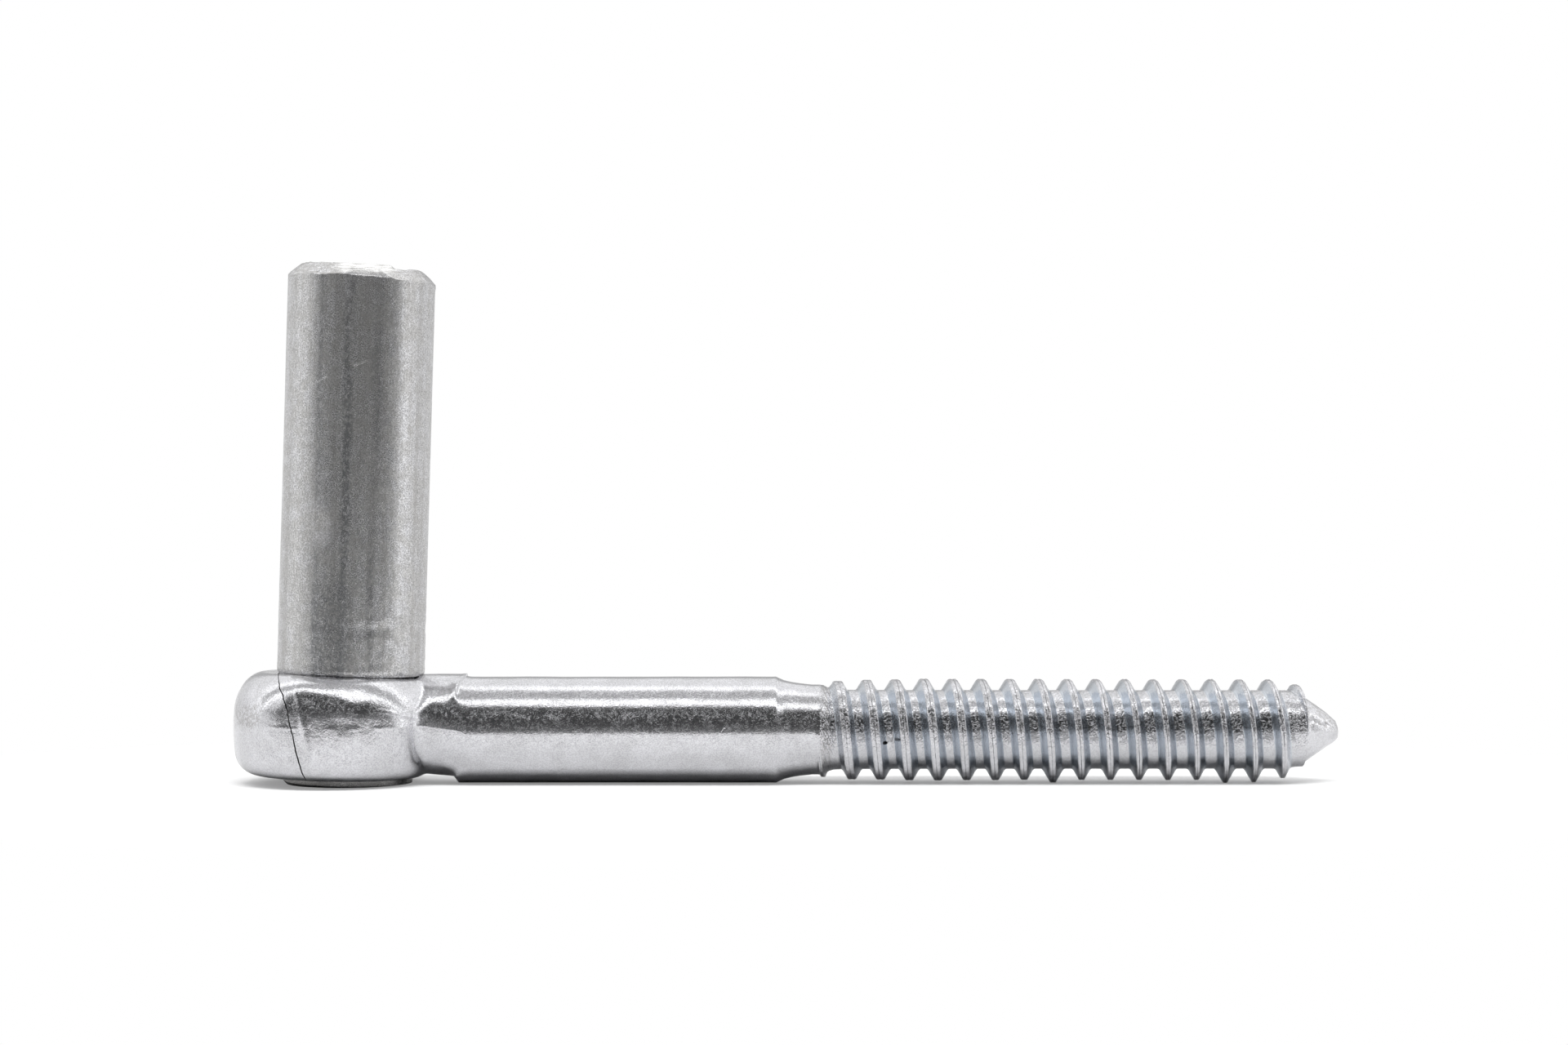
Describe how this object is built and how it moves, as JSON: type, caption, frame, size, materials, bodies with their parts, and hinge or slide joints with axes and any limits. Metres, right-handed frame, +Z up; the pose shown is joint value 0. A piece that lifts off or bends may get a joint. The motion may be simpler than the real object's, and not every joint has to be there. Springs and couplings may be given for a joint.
{
  "type": "gate hinge pin",
  "caption": "Screw-in gate hinge pin: upright round pin pressed through the forged eye of a lag screw that turns into the post.",
  "frame": {"origin": "where the pin's axis meets the seat, the flat top of the eye", "axes": "+X along the screw towards its point, +Z up; the pin's axis leans 1.6 degrees from +Z towards +X"},
  "size_m": [0.1214, 0.0224, 0.0565],
  "materials": {
    "pin_zinc": "dull zinc plating over a drawn bar, with draw lines and stains",
    "screw_zinc": "bright zinc plating over a forging and a rolled thread"
  },
  "bodies": {
    "root": {"hinge_pin": "pin_zinc", "eye_screw": "screw_zinc"}
  },
  "joints": []
}
